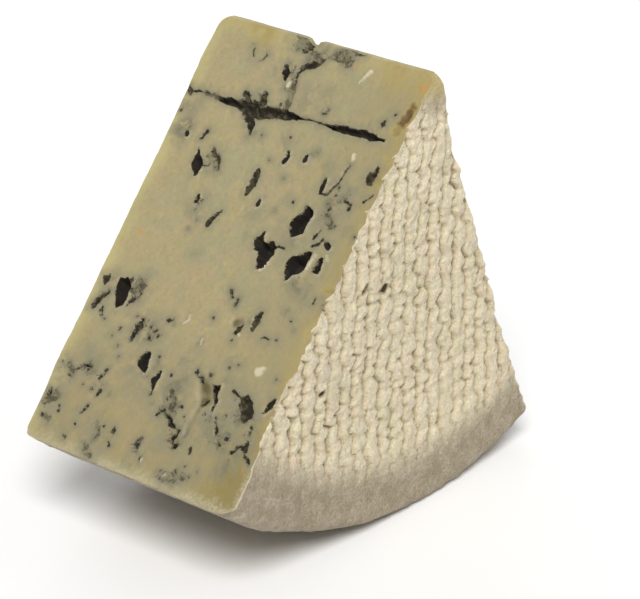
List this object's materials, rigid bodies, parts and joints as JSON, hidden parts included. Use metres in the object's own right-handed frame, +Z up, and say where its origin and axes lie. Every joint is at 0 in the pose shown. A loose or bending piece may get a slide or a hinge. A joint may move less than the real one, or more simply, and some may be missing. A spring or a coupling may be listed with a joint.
{
  "type": "wedge of blue-veined cheese",
  "caption": "Wedge of a small blue-veined cheese drum, pebbled rind on both round faces, standing on its curved heel with the point edge up.",
  "frame": {"origin": "on the surface it stands on, straight below the upper edge and halfway along it, in the middle of the flat spot of the heel", "axes": "+Z up; Y along the drum's axis, which is the wedge's upper edge, with the near rind face at -Y; the veined cut face leans down towards -X and the other cut face towards +X"},
  "size_m": [0.1014, 0.0576, 0.098],
  "materials": {
    "cheese": "moist cream paste with blue-green veins, dry cream-white pebbled rind"
  },
  "bodies": {
    "root": {"cheese_wedge": "cheese"}
  },
  "joints": []
}
